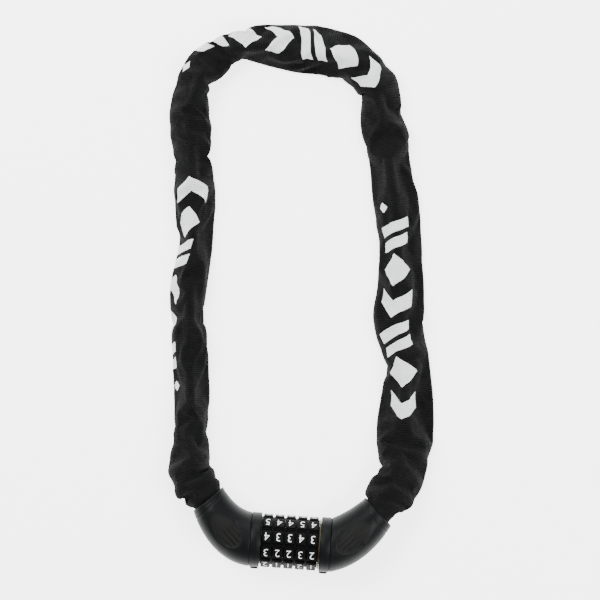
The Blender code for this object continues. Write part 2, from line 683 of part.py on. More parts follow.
# ---- sleeve ----
def sleeve_ring(point, along):
    """The section's outline at a route point, square to the route: round in the mouths, else a flattened oval."""
    side = Vector((0, 0, 1)).cross(along).normalized()
    up = along.cross(side)
    flat = min(1.0, max(0.0, (point.w - ROUND_UP_TO) / (FLAT_FROM - ROUND_UP_TO)))
    power, flatten = 2 / (2 + SLEEVE_FULLNESS * flat), 1 + SLEEVE_FLATTEN * flat
    ring = []
    for i in range(SLEEVE_SIDES):
        angle = math.tau * (i + 0.5) / SLEEVE_SIDES
        c, s = math.cos(angle), math.sin(angle)
        across = point.w * math.copysign(abs(c) ** power, c)
        height = SLEEVE_HALF_HEIGHT * math.copysign(min(1.0, flatten * abs(s) ** power), s)
        ring.append(point.xyz + side * across + up * height)
    return ring


def route_stations(dense, start, end):
    """Evenly spaced route points and directions between two distances along the route."""
    lengths = [0.0]
    for a, b in zip(dense, dense[1:]):
        lengths.append(lengths[-1] + (b.xyz - a.xyz).length)
    count = max(2, round((end - start) / SLEEVE_STEP))
    stations = []
    for k in range(count + 1):
        want = start + (end - start) * k / count
        i = max(j for j in range(len(dense) - 1) if lengths[j] <= want)
        share = (want - lengths[i]) / (lengths[i + 1] - lengths[i])
        before, after = dense[max(0, i - 2)].xyz, dense[min(len(dense) - 1, i + 3)].xyz
        stations.append((dense[i].lerp(dense[i + 1], min(share, 1.0)), (after - before).normalized()))
    return stations


def distance_of(dense, point):
    """How far along the route the point nearest to this one lies."""
    best, total, found = math.inf, 0.0, 0.0
    for a, b in zip(dense, dense[1:]):
        off = (a.xyz - point).length
        if off < best:
            best, found = off, total
        total += (b.xyz - a.xyz).length
    return found, total


def build_sleeve(name, dense, start, end, fabric):
    stations = route_stations(dense, start, end)
    rings = [sleeve_ring(point, along) for point, along in stations]
    sleeve = add(name, lofted(rings, False), fabric, Matrix())
    wall = sleeve.modifiers.new("Wall", "SOLIDIFY")
    wall.thickness = FABRIC
    wall.offset = -1
    wall.use_even_offset = True
    smooth(sleeve)


def build_chain_and_sleeve(steel, fabric):
    dense = smooth_route()
    joints, inner = chain_joints(dense)
    build_links(joints, inner, steel)
    corners = [distance_of(dense, joints[k])[0] for k in CORNER_LINKS]
    total = distance_of(dense, joints[-1])[1]
    left_mouth, _ = distance_of(dense, LOCK_CENTRE + mouth_place(-1, LEFT_COLLAR))
    right_mouth, _ = distance_of(dense, LOCK_CENTRE + mouth_place(1, RIGHT_COLLAR))
    half = CORNER_GAP / 2
    build_sleeve("sleeve_left", dense, left_mouth - SLEEVE_TUCK, corners[0] - half, fabric)
    build_sleeve("sleeve_top", dense, corners[0] + half, corners[1] - half, fabric)
    build_sleeve("sleeve_right", dense, corners[1] + half, min(right_mouth + SLEEVE_TUCK, total), fabric)


def main():
    clear_scene()
    collection(PART, True)
    collection(CUTTERS, False)
    cover = material("cover_plastic", (0.030, 0.034, 0.036), 0.42)
    dial_plastic = material("dial_plastic", (0.016, 0.017, 0.018), 0.35)
    zinc = material("zinc_casting", (0.42, 0.41, 0.38), 0.45, 1.0)
    steel = material("chain_steel", (0.36, 0.36, 0.37), 0.35, 1.0)
    fabric = material("sleeve_fabric", (0.012, 0.012, 0.013), 0.85)

    build_dials(dial_plastic, zinc)
    build_core_tube(zinc)
    build_bolt(steel)
    build_detent_spring(steel)
    build_stack_ends(zinc, steel)
    build_reset_cam(zinc)
    socket_start = TUBE_LEFT - 2 * PAST
    tube_socket = (TUBE_RADIUS + CLEARANCE, socket_start, socket_start + TUBE_SOCKET_LENGTH)
    bolt_socket = (BOLT_RADIUS + CLEARANCE, PACK_END, BOLT_RIGHT + CLEARANCE)
    halves = (
        (-1, "left", LEFT_COLLAR, [tube_socket, SPRING_POCKET]),
        (1, "right", RIGHT_COLLAR, [bolt_socket]),
    )
    for side, word, start, bore in halves:
        build_collar(side, f"{word}_collar", start, cover)
        build_anchor(side, f"{word}_chain_anchor", start, bore, zinc)
        build_pin(side, f"{word}_chain_pin", start, steel)
        build_cover_screw(side, f"{word}_cover_screw", start, steel)
    build_elbows(cover)
    build_chain_and_sleeve(steel, fabric)


main()
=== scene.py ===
"""Looks for a dial combination chain lock, lying flat and closed.

Moulded covers, numbered dials and a loose woven sleeve are made here. The chain, the bolt and the
other inner parts are the frame's own pieces with better materials.
"""

import math

import bmesh
import bpy
import numpy as np
from mathutils import Matrix, Vector


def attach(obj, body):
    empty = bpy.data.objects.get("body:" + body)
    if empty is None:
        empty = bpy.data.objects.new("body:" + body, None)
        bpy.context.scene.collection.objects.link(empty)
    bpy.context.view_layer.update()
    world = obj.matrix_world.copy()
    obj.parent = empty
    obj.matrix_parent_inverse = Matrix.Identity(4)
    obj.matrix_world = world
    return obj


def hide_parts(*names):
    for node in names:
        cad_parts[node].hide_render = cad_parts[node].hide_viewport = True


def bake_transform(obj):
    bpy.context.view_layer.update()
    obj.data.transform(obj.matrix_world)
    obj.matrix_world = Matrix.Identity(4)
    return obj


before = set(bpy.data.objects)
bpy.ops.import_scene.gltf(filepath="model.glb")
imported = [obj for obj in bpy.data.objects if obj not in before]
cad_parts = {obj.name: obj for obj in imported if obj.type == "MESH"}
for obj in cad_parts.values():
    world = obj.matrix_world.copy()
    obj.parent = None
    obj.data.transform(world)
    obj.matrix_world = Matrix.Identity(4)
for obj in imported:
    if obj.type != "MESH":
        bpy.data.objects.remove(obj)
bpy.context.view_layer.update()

# ---- dimensions, in metres ----
LOCK = Vector((0.0069, -0.16775, 0.0190))  # middle of the dial stack, on its axis
INDEX_ANGLE = math.radians(95)  # from the top towards the near side
DIGIT_STEP = math.radians(36)
SHOWN_CODE = (1, 0, 0, 1, 0)
DIAL_PITCH, DIAL_HALF, RIM_HALF = 0.0079, 0.00394, 0.00315
DIAL_BORE, SHOULDER, GROOVE_FLOOR, PAD_FLAT = 0.0146, 0.0164, 0.0168, 0.0181  # radii, from the inside out
PAD_CORNER, PAD_EDGE, GROOVE_LIMIT = 0.01832, 0.0179, 0.0174  # faces below the limit are the grooves
NUMERAL_SIZE, NUMERAL_THINNING, NUMERAL_RAISED = 0.0080, -0.00010, 0.00004
COLLAR_RADIUS, COLLAR_WIDTH, COLLAR_BORE, COLLAR_SHELF = 0.0189, 0.0070, 0.0112, 0.0164
LEFT_COLLAR, RIGHT_COLLAR = 0.02015, 0.02115  # from the middle dial to each collar's near face
LEFT_HUB = 0.0003  # how far the left collar reaches towards the first dial
INDEX_MARK, INDEX_MARK_AT = (0.0054, 0.0022, 0.0034), 0.0031
ELBOW_GAP, ELBOW_LENGTH = 0.00005, 0.0415
ELBOW_RUN, ELBOW_BEND = np.array((-0.0309, 0.0250, 0)), math.radians(46.6)
# How each elbow's centreline sets out and arrives, in degrees from the lock's axis, and its curve's reach.
ELBOW_CURVE = {-1: (4, 64, 0.0140), 1: (16, 57, 0.0132)}
FLAT_WIDTH, CLOTH = 0.084, 0.0006  # the sleeve cut open and laid flat, and its thickness
SLIM = 0.055  # how much narrower the sleeve is before the cloth spreads
SECTION_POWER = 0.86  # below 1 the sleeve's section is squarer than an ellipse

# ---- colours ----
COVER_BLACK, RECESS_BLACK = (0.0044, 0.0052, 0.0054), (0.0075, 0.0077, 0.0073)
COVER_ROUGHNESS, COVER_GLOSS = 0.40, 0.07
# The grooves' black is darker than the dials' own black: painted shade in the grooves.
DIAL_BLACK, GROOVE_SHADE_BLACK = (0.0030, 0.0032, 0.0033), (0.0012, 0.0013, 0.0013)
SLEEVE_BLACK, MARK_WHITE = (0.0040, 0.0042, 0.0041), (0.86, 0.87, 0.88)

# The chain's route from mouth to mouth: x and y from the middle dial, height, half width and half height.
ROUTE = [
    (-0.0572, 0.0236, 0.0187, 0.0104, 0.0104),
    (-0.0662, 0.0342, 0.0183, 0.0150, 0.0112),
    (-0.0720, 0.0442, 0.0170, 0.0165, 0.0112),
    (-0.0740, 0.0590, 0.0148, 0.0140, 0.0108),
    (-0.0748, 0.0760, 0.0125, 0.0110, 0.0108),
    (-0.0756, 0.0980, 0.0112, 0.0118, 0.0106),
    (-0.0779, 0.1220, 0.0108, 0.0118, 0.0108),
    (-0.0820, 0.1450, 0.0107, 0.0120, 0.0106),
    (-0.0834, 0.1620, 0.0106, 0.0117, 0.0105),
    (-0.0826, 0.1830, 0.0107, 0.0111, 0.0108),
    (-0.0818, 0.2030, 0.0106, 0.0112, 0.0106),
    (-0.0829, 0.2245, 0.0107, 0.0132, 0.0106),
    (-0.0851, 0.2430, 0.0106, 0.0136, 0.0105),
    (-0.0872, 0.2590, 0.0106, 0.0126, 0.0106),
    (-0.0898, 0.2760, 0.0107, 0.0134, 0.0106),
    (-0.0912, 0.2900, 0.0106, 0.0130, 0.0105),
    (-0.0904, 0.3040, 0.0106, 0.0118, 0.0106),
    (-0.0868, 0.3170, 0.0107, 0.0106, 0.0108),
    (-0.0798, 0.3278, 0.0107, 0.0090, 0.0106),
    (-0.0712, 0.3350, 0.0106, 0.0084, 0.0105),
    (-0.0590, 0.3388, 0.0106, 0.0098, 0.0106),
    (-0.0433, 0.3402, 0.0106, 0.0132, 0.0105),
    (-0.0270, 0.3392, 0.0107, 0.0148, 0.0107),
    (-0.0120, 0.3376, 0.0106, 0.0168, 0.0105),
    (0.0020, 0.3362, 0.0107, 0.0160, 0.0108),
    (0.0120, 0.3340, 0.0106, 0.0152, 0.0105),
    (0.0206, 0.3300, 0.0107, 0.0136, 0.0107),
    (0.0300, 0.3228, 0.0107, 0.0126, 0.0107),
    (0.0384, 0.3118, 0.0106, 0.0132, 0.0108),
    (0.0405, 0.2965, 0.0107, 0.0140, 0.0107),
    (0.0459, 0.2750, 0.0106, 0.0146, 0.0106),
    (0.0508, 0.2550, 0.0107, 0.0154, 0.0106),
    (0.0555, 0.2340, 0.0106, 0.0156, 0.0105),
    (0.0602, 0.2080, 0.0107, 0.0146, 0.0107),
    (0.0630, 0.1800, 0.0106, 0.0152, 0.0105),
    (0.0631, 0.1600, 0.0107, 0.0174, 0.0106),
    (0.0679, 0.1420, 0.0107, 0.0142, 0.0108),
    (0.0714, 0.1250, 0.0108, 0.0144, 0.0106),
    (0.0723, 0.1080, 0.0110, 0.0176, 0.0105),
    (0.0726, 0.0900, 0.0116, 0.0190, 0.0106),
    (0.0730, 0.0740, 0.0128, 0.0182, 0.0108),
    (0.0724, 0.0594, 0.0147, 0.0166, 0.0110),
    (0.0692, 0.0470, 0.0166, 0.0168, 0.0112),
    (0.0636, 0.0350, 0.0182, 0.0148, 0.0112),
    (0.0609, 0.0282, 0.0185, 0.0108, 0.0105),
    (0.0580, 0.0238, 0.0187, 0.0102, 0.0102),
]
STATIONS, COLUMNS = 460, 64


# ---- small helpers ----
def smoothstep(low, high, value):
    t = np.clip((value - low) / (high - low), 0, 1)
    return t * t * (3 - 2 * t)


def link_object(name, mesh, material, body, *nodes, slot=None):
    """A finished piece on its CAD body, standing for the named CAD nodes."""
    obj = bpy.data.objects.new(name, mesh)
    bpy.context.scene.collection.objects.link(obj)
    if material:
        mesh.materials.append(material)
    if body:
        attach(obj, body)
    if nodes:
        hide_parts(*nodes)
    return obj


def grid_mesh(name, points, wrap_rows=False, wrap_columns=True, sharp=40):
    """Quads over points[row][column], joined round where asked, with faces outward."""
    rows, columns = points.shape[:2]
    mesh = bpy.data.meshes.new(name)
    faces = []
    for i in range(rows if wrap_rows else rows - 1):
        for j in range(columns if wrap_columns else columns - 1):
            a, b = i * columns, (i + 1) % rows * columns
            k = (j + 1) % columns
            faces.append((a + j, a + k, b + k, b + j))
    mesh.from_pydata(points.reshape(-1, 3).tolist(), [], faces)
    outward(mesh)
    mesh.shade_smooth()
    mesh.set_sharp_from_angle(angle=math.radians(sharp))
    return mesh


def outward(mesh):
    work = bmesh.new()
    work.from_mesh(mesh)
    bmesh.ops.recalc_face_normals(work, faces=work.faces)
    work.to_mesh(mesh)
    work.free()


def revolved(name, profile, angles, sharp=40):
    """A ring about the lock's axis from a closed outline of (x, radius)."""
    profile = np.array(profile)
    points = np.empty((len(profile), len(angles), 3))
    points[..., 0] = profile[:, :1]
    points[..., 1] = -profile[:, 1:] * np.sin(angles)
    points[..., 2] = profile[:, 1:] * np.cos(angles)
    return grid_mesh(name, points + np.array(LOCK), True, True, sharp)


# ---- materials ----
class Nodes:
    """A short way to write node materials."""

    def __init__(self, name, colour, roughness, metallic=0.0):
        self.material = bpy.data.materials.new(name)
        self.material.use_nodes = True
        self.tree = self.material.node_tree
        self.shader = self.tree.nodes["Principled BSDF"]
        self.put(self.shader.inputs["Base Color"], (*colour, 1))
        self.put(self.shader.inputs["Roughness"], roughness)
        self.put(self.shader.inputs["Metallic"], metallic)

    def put(self, socket, value):
        if isinstance(value, bpy.types.NodeSocket):
            self.tree.links.new(value, socket)
        elif value is not None:
            socket.default_value = value

    def node(self, kind, inputs=(), **settings):
        made = self.tree.nodes.new(kind)
        for key, value in settings.items():
            setattr(made, key, value)
        for key, value in dict(inputs).items():
            self.put(made.inputs[key], value)
        return made

    def math(self, operation, a, b=None, c=None):
        made = self.node("ShaderNodeMath", operation=operation)
        for socket, value in zip(made.inputs, (a, b, c)):
            self.put(socket, value)
        return made.outputs[0]

    def noise(self, vector, scale, detail=3.0):
        made = self.node("ShaderNodeTexNoise", {"Vector": vector, "Scale": scale, "Detail": detail})
        return made.outputs["Fac"]

    def mix(self, share, a, b):
        made = self.node("ShaderNodeMix", data_type="RGBA")
        usable = [s for s in made.inputs if s.enabled and s.type in ("VALUE", "RGBA")]
        for key, value in (("Factor", share), ("A", a), ("B", b)):
            self.put(next(s for s in usable if s.name == key), value)
        return next(s for s in made.outputs if s.enabled)

    def ramp(self, value, low, high, to_low, to_high):
        made = self.node("ShaderNodeMapRange", {"Value": value, 1: low, 2: high, 3: to_low, 4: to_high})
        return made.outputs[0]

    def bump(self, height, distance, strength=1.0, below=None):
        made = self.node("ShaderNodeBump", {"Height": height, "Distance": distance, "Strength": strength})
        if below:
            self.put(made.inputs["Normal"], below)
        return made.outputs["Normal"]

    def position(self):
        return self.node("ShaderNodeTexCoord").outputs["Object"]


def plastic(name, colour, roughness, grain, gloss=0.18):
    """Moulded plastic with a fine grain and slightly uneven gloss."""
    n = Nodes(name, colour, roughness)
    n.put(n.shader.inputs["Specular IOR Level"], gloss)
    place = n.position()
    uneven = n.ramp(n.noise(place, 160), 0.3, 0.7, roughness - 0.04, roughness + 0.05)
    n.put(n.shader.inputs["Roughness"], uneven)
    n.put(n.shader.inputs["Normal"], n.bump(n.noise(place, 2600, 2), grain, 0.6))
    return n.material


def metal(name, colour, roughness):
    """Plated or cast metal, a little blotched and pitted."""
    n = Nodes(name, colour, roughness, 1.0)
    place = n.position()
    uneven = n.ramp(n.noise(place, 420), 0.3, 0.7, roughness - 0.06, roughness + 0.08)
    n.put(n.shader.inputs["Roughness"], uneven)
    n.put(n.shader.inputs["Normal"], n.bump(n.noise(place, 1300, 2), 0.00004, 0.5))
    return n.material


RIB_SPACING, THREAD_SPACING = 0.0012, 0.0011


def fabric(groups):
    """Black weave with cross ribs, with painted shade in their hollows and painted light on their crests, and
    white marks along the middle of the cloth, in groups.
    """
    n = Nodes("sleeve_weave", SLEEVE_BLACK, 0.88)
    cloth = n.node("ShaderNodeUVMap", uv_map="cloth").outputs[0]
    across, along, _ = n.node("ShaderNodeSeparateXYZ", {0: cloth}).outputs
    rib = n.math("SINE", n.math("MULTIPLY", along, math.tau / RIB_SPACING))
    thread = n.math("SINE", n.math("MULTIPLY", across, math.tau / THREAD_SPACING))
    weave = n.math("ADD", rib, n.math("MULTIPLY", thread, 0.45))
    white = marks(n, across, along, groups)
    dots = n.ramp(n.math("MULTIPLY", rib, thread), 0.35, 0.8, 1.0, 0.45)
    place = n.position()
    worn = n.ramp(n.noise(place, 90), 0.35, 0.7, 0.75, 1.35)
    # The black is scaled by the ribs, darker in their hollows and lighter on their crests: painted shade and
    # painted light of the weave. The worn noise varies the tone at random.
    black = n.node("ShaderNodeVectorMath", {0: SLEEVE_BLACK}, operation="SCALE")
    n.put(black.inputs["Scale"], n.math("MULTIPLY", worn, n.ramp(rib, -1, 1, 0.3, 1.8)))
    chalk = n.node("ShaderNodeVectorMath", {0: MARK_WHITE}, operation="SCALE")
    n.put(chalk.inputs["Scale"], dots)
    n.put(n.shader.inputs["Base Color"], n.mix(white, black.outputs[0], chalk.outputs[0]))
    n.put(n.shader.inputs["Sheen Weight"], 0.015)
    n.put(n.shader.inputs["Sheen Roughness"], 0.45)
    n.put(n.shader.inputs["Specular IOR Level"], 0.08)
    creases = n.bump(n.noise(place, 240, 4), 0.0006, 0.5)
    n.put(n.shader.inputs["Normal"], n.bump(weave, 0.00022, 0.8, creases))
    return n.material


# The white marks, in metres.
MARK_PITCH, MARK_HALF, MARKS_IN_GROUP = 0.0228, 0.0112, 6
SMALL_MARK_BEFORE, SMALL_MARK_ASIDE, SMALL_MARK_HALF = 0.0075, 0.0060, 0.0036
# Their shapes, as shares of the pitch and of the half width.
BAR_SLANT, BAR_AT, BAR_HALF = 0.14, 0.225, 0.15
DIAMOND_NARROWING = 2.1
CHEVRON_SLOPE, CHEVRON_AT, CHEVRON_HALF = 0.38, 0.17, 0.23


def marks(n, across, along, groups):
    """1 inside a bold plain mark and 0 outside: a pair of slanted bars, a diamond and a chevron by turns."""
    shape = None
    for start in groups:
        step = n.math("DIVIDE", n.math("SUBTRACT", along, start), MARK_PITCH)
        which = n.math("FLOOR", step)
        part = n.math("SUBTRACT", n.math("SUBTRACT", step, which), 0.5)
        side = n.math("DIVIDE", across, MARK_HALF)
        out = n.math("ABSOLUTE", side)
        slant = n.math("ABSOLUTE", n.math("ADD", part, n.math("MULTIPLY", side, BAR_SLANT)))
        bars = n.math("COMPARE", slant, BAR_AT, BAR_HALF)
        reach = n.math("ADD", n.math("MULTIPLY", n.math("ABSOLUTE", part), DIAMOND_NARROWING), out)
        diamond = n.math("LESS_THAN", reach, 1.0)
        arrow = n.math("ADD", part, n.math("MULTIPLY", out, CHEVRON_SLOPE))
        chevron = n.math("COMPARE", arrow, CHEVRON_AT, CHEVRON_HALF)
        # Thirty is added so that the turn is also right before the group's start.
        kind = n.math("MODULO", n.math("ADD", which, 30), 3)
        drawn = n.math("MULTIPLY", bars, n.math("COMPARE", kind, 0, 0.5))
        drawn = n.math("ADD", drawn, n.math("MULTIPLY", diamond, n.math("COMPARE", kind, 1, 0.5)))
        drawn = n.math("ADD", drawn, n.math("MULTIPLY", chevron, n.math("COMPARE", kind, 2, 0.5)))
        here = n.math("COMPARE", step, MARKS_IN_GROUP / 2, MARKS_IN_GROUP / 2)
        drawn = n.math("MULTIPLY", n.math("MULTIPLY", drawn, here), n.math("LESS_THAN", out, 1))
        # A small diamond stands before each group.
        far = n.math("ABSOLUTE", n.math("SUBTRACT", along, start - SMALL_MARK_BEFORE))
        aside = n.math("ABSOLUTE", n.math("ADD", across, SMALL_MARK_ASIDE))
        small = n.math("LESS_THAN", n.math("ADD", far, aside), SMALL_MARK_HALF)
        drawn = n.math("MAXIMUM", drawn, small)
        shape = drawn if shape is None else n.math("MAXIMUM", shape, drawn)
    return shape


# ---- dials ----
def dial_angles():
    """Angles round one digit's sector and the rim's radius at each: a flat pad between two grooves."""
    groove = [(-18, GROOVE_FLOOR), (-15.5, GROOVE_FLOOR), (-13.6, GROOVE_FLOOR + 0.0002), (-12.9, PAD_EDGE)]
    flat = [(-12.1, PAD_CORNER), (-10.5, PAD_FLAT / math.cos(math.radians(10.5)))]
    pad = [(a, PAD_FLAT / math.cos(math.radians(a))) for a in (-7, -3.5, 0, 3.5, 7)]
    half = groove + flat
    sector = half + pad + [(-a, r) for a, r in half[:0:-1]]
    return [(math.radians(a), r) for a, r in sector]


def build_dials(black, shoulder, groove, white):
    """Five rings of ten raised pads, each with its ten numerals."""
    sector = dial_angles()
    angles, rim = [], []
    for k in range(10):
        angles += [INDEX_ANGLE + k * DIGIT_STEP + a for a, _ in sector]
        rim += [r for _, r in sector]
    angles, rim = np.array(angles), np.array(rim)
    digits = [digit_mesh(d) for d in range(10)]
    # Each ring of points: place along the axis, plain radius, or the rim's own radius less a little.
    outline = [
        (-DIAL_HALF, DIAL_BORE, None),
        (-DIAL_HALF, SHOULDER, None),
        (-RIM_HALF - 0.0001, SHOULDER, None),
        (-RIM_HALF, None, 0.0006),
        (-RIM_HALF + 0.00018, None, 0.00022),
        (-RIM_HALF + 0.0005, None, 0.0),
        (RIM_HALF - 0.0005, None, 0.0),
        (RIM_HALF - 0.00018, None, 0.00022),
        (RIM_HALF, None, 0.0006),
        (RIM_HALF + 0.0001, SHOULDER, None),
        (DIAL_HALF, SHOULDER, None),
        (DIAL_HALF, DIAL_BORE, None),
    ]
    for k in range(5):
        middle = (k - 2) * DIAL_PITCH
        points = np.empty((len(outline), len(angles), 3))
        for i, (x, radius, less) in enumerate(outline):
            reach = rim - less if radius is None else np.full(len(rim), radius)
            points[i, :, 0] = middle + x
            points[i, :, 1] = -reach * np.sin(angles)
            points[i, :, 2] = reach * np.cos(angles)
        name = f"dial_{k + 1}_shell"
        mesh = grid_mesh(name, points + np.array(LOCK), True, True, 28)
        link_object(name, mesh, black, f"dial_{k + 1}_set", f"dial_{k + 1}", slot="dial_plastic")
        mesh.materials.append(shoulder)
        mesh.materials.append(groove)
        for face in mesh.polygons:
            out = face.center - LOCK
            if abs(out.x - middle) > RIM_HALF:
                face.material_index = 1
            # Faces in the grooves take the darker groove colour: painted shade.
            elif math.hypot(out.y, out.z) < GROOVE_LIMIT:
                face.material_index = 2
        build_digits(k, middle, digits, white)


def digit_mesh(digit):
    """A numeral centred on its own origin, 5.9 mm tall."""
    text = bpy.data.curves.new("numeral", "FONT")
    text.body = str(digit)
    text.size = NUMERAL_SIZE
    text.offset = NUMERAL_THINNING
    text.extrude = NUMERAL_RAISED
    text.resolution_u = 6
    text.align_x = "CENTER"
    obj = bpy.data.objects.new("numeral", text)
    bpy.context.scene.collection.objects.link(obj)
    bpy.context.view_layer.update()
    mesh = bpy.data.meshes.new_from_object(obj.evaluated_get(bpy.context.evaluated_depsgraph_get()))
    bpy.data.objects.remove(obj)
    corners = np.array([v.co for v in mesh.vertices])
    middle = (corners.max(0) + corners.min(0)) / 2
    mesh.transform(Matrix.Translation((-middle[0], -middle[1], 0)))
    return mesh


def build_digits(k, middle, digits, white):
    work = bmesh.new()
    for digit, mesh in enumerate(digits):
        angle = INDEX_ANGLE - (digit - SHOWN_CODE[k]) * DIGIT_STEP
        turned = mesh.copy()
        # The numeral's right is -X, its top is towards a larger angle, and it faces away from the axis.
        out = Vector((0, -math.sin(angle), math.cos(angle)))
        top = Vector((0, -math.cos(angle), -math.sin(angle)))
        axes = Matrix((Vector((-1, 0, 0)), top, out)).transposed().to_4x4()
        turned.transform(Matrix.Translation(LOCK + Vector((middle, 0, 0)) + out * PAD_FLAT) @ axes)
        work.from_mesh(turned)
    mesh = bpy.data.meshes.new(f"dial_{k + 1}_numerals")
    work.to_mesh(mesh)
    work.free()
    link_object(mesh.name, mesh, white, f"dial_{k + 1}_set")


# ---- collars ----
def build_collar(side, word, start, body, black):
    """A ring with rounded edges, hollow from its far side."""
    near, far = start, start + COLLAR_WIDTH
    r = COLLAR_RADIUS
    hub = near - (LEFT_HUB if side < 0 else 0)
    shelf = near + 0.0020
    outline = [
        (hub, COLLAR_BORE),
        (hub, COLLAR_SHELF),
        (near, 0.0165),
        (near, r - 0.0007),
        (near + 0.0002, r - 0.0002),
        (near + 0.0007, r),
        (far - 0.0009, r),
        (far - 0.0004, r - 0.0002),
        (far - 0.0001, r - 0.0007),
        (far, r - 0.0014),
        (far, COLLAR_SHELF),
        (shelf, COLLAR_SHELF),
        (shelf, COLLAR_BORE),
    ]
    angles = np.linspace(0, math.tau, 128, endpoint=False)
    mesh = revolved(f"{word}_collar_shell", [(side * x, radius) for x, radius in outline], angles, 30)
    link_object(mesh.name, mesh, black, body, f"{word}_collar", slot="cover_plastic")
    build_index(side, word, start, body, black)


def build_index(side, word, start, body, black):
    """The raised index mark at the near edge of a collar."""
    work = bmesh.new()
    bmesh.ops.create_cube(work, size=1, matrix=Matrix.Diagonal((*INDEX_MARK, 1)))
    bmesh.ops.bevel(work, geom=work.edges[:], offset=0.00035, segments=2, affect="EDGES")
    mesh = bpy.data.meshes.new(f"{word}_index_mark")
    work.to_mesh(mesh)
    work.free()
    turn = Matrix.Rotation(INDEX_ANGLE - math.pi / 2, 4, "X")
    along = Matrix.Translation((side * (start + INDEX_MARK_AT), 0, 0))
    outwards = Matrix.Translation((0, -COLLAR_RADIUS - 0.0001, 0))
    mesh.transform(Matrix.Translation(LOCK) @ (along @ turn @ outwards))
    mesh.shade_smooth()
    mesh.set_sharp_from_angle(angle=math.radians(30))
    link_object(mesh.name, mesh, black, body)


# ---- elbows ----
def elbow_line(t, side):
    """An elbow's centreline, as on the left, from its start at x = 0, and the way each section faces."""

    def heading(angle):
        return np.stack([-np.cos(angle), np.sin(angle), np.zeros_like(angle)], -1)

    start, end, reach = ELBOW_CURVE[side]
    first = heading(np.radians(start)) * reach
    last = ELBOW_RUN - heading(np.radians(end)) * reach
    v = t[:, None]
    u = 1 - v
    return first * 3 * u * u * v + last * 3 * u * v * v + ELBOW_RUN * v**3, heading(t * ELBOW_BEND)


def elbow_surface(t, radius, angles, side):
    """Round sections along the centreline, and the direction from each section's middle to its points."""
    points, ways = elbow_line(t, side)
    across = np.stack([-ways[:, 1], ways[:, 0], ways[:, 2]], 1)
    up = np.array((0.0, 0.0, 1.0))
    spread = across[:, None] * np.cos(angles)[None, :, None] + up * np.sin(angles)[None, :, None]
    return points[:, None] + spread * radius[:, None, None], spread


# Thumb recess on each side: its middle from the elbow's start, as on the left, and its turn.
GRIPS = {
    -1: (np.array((-0.0182, 0.0064)), math.radians(-46)),
    1: (np.array((-0.0164, 0.0088)), math.radians(-48)),
}
GRIP_LONG, GRIP_WIDE, GRIP_DEPTH = 0.0158, 0.0092, 0.0010
FINGER_PITCH, FINGER_DEPTH, FINGER_OFFSET = 0.0033, 0.0008, 0.0003
GRIP_HEIGHT = 0.006  # no recess this near the axis, which leaves one above and one below


def grip_depth(points, side):
    """How far the thumb recess sinks at each point: a dish with finger grooves at the dials' end."""
    at, turn = GRIPS[side]
    p = points[..., :2] - at
    c, s = math.cos(turn), math.sin(turn)
    along, across = p[..., 0] * c + p[..., 1] * s, -p[..., 0] * s + p[..., 1] * c
    rim = np.sqrt((along / GRIP_LONG) ** 2 + (across / GRIP_WIDE) ** 2)
    near_dials = smoothstep(-0.010, 0.004, along)
    edge = np.where(along > 0, 1 - smoothstep(0.90, 1.0, rim), 1 - smoothstep(0.62, 1.0, rim))
    dish = GRIP_DEPTH * edge * (0.4 + 0.6 * near_dials)
    rows = 0.5 - 0.5 * np.cos((across + FINGER_OFFSET) * math.tau / FINGER_PITCH)
    grooves = FINGER_DEPTH * rows * smoothstep(-0.003, 0.004, along) * (1 - smoothstep(0.80, 0.95, rim))
    return np.where(np.abs(points[..., 2]) > GRIP_HEIGHT, dish + grooves, 0)


def recess_plastic():
    """The covers' plastic, paler and rougher inside the thumb recess."""
    n = Nodes("cover_satin", COVER_BLACK, COVER_ROUGHNESS)
    n.put(n.shader.inputs["Specular IOR Level"], COVER_GLOSS)
    place = n.position()
    inside = n.node("ShaderNodeAttribute", attribute_name="recess").outputs["Fac"]
    n.put(n.shader.inputs["Base Color"], n.mix(inside, (*COVER_BLACK, 1), (*RECESS_BLACK, 1)))
    gloss = n.ramp(n.noise(place, 160), 0.3, 0.7, 0.36, 0.45)
    n.put(n.shader.inputs["Roughness"], n.math("ADD", gloss, n.math("MULTIPLY", inside, 0.2)))
    n.put(n.shader.inputs["Normal"], n.bump(n.noise(place, 2600, 2), 0.00003, 0.6))
    return n.material


# Two fine lines run round beside the mouth: their distance from the collar, depth and width.
MOUTH_LINES = ((0.0372, 0.00030, 0.00045), (0.0394, 0.00016, 0.0004))
LIP_RADII, LIP_OUT = (0.0129, 0.0128, 0.0127, 0.0126), (0.0003, 0.0004, 0.0003, 0.0)
FIRST_RADIUS = 0.0184  # a slight chamfer against the collar


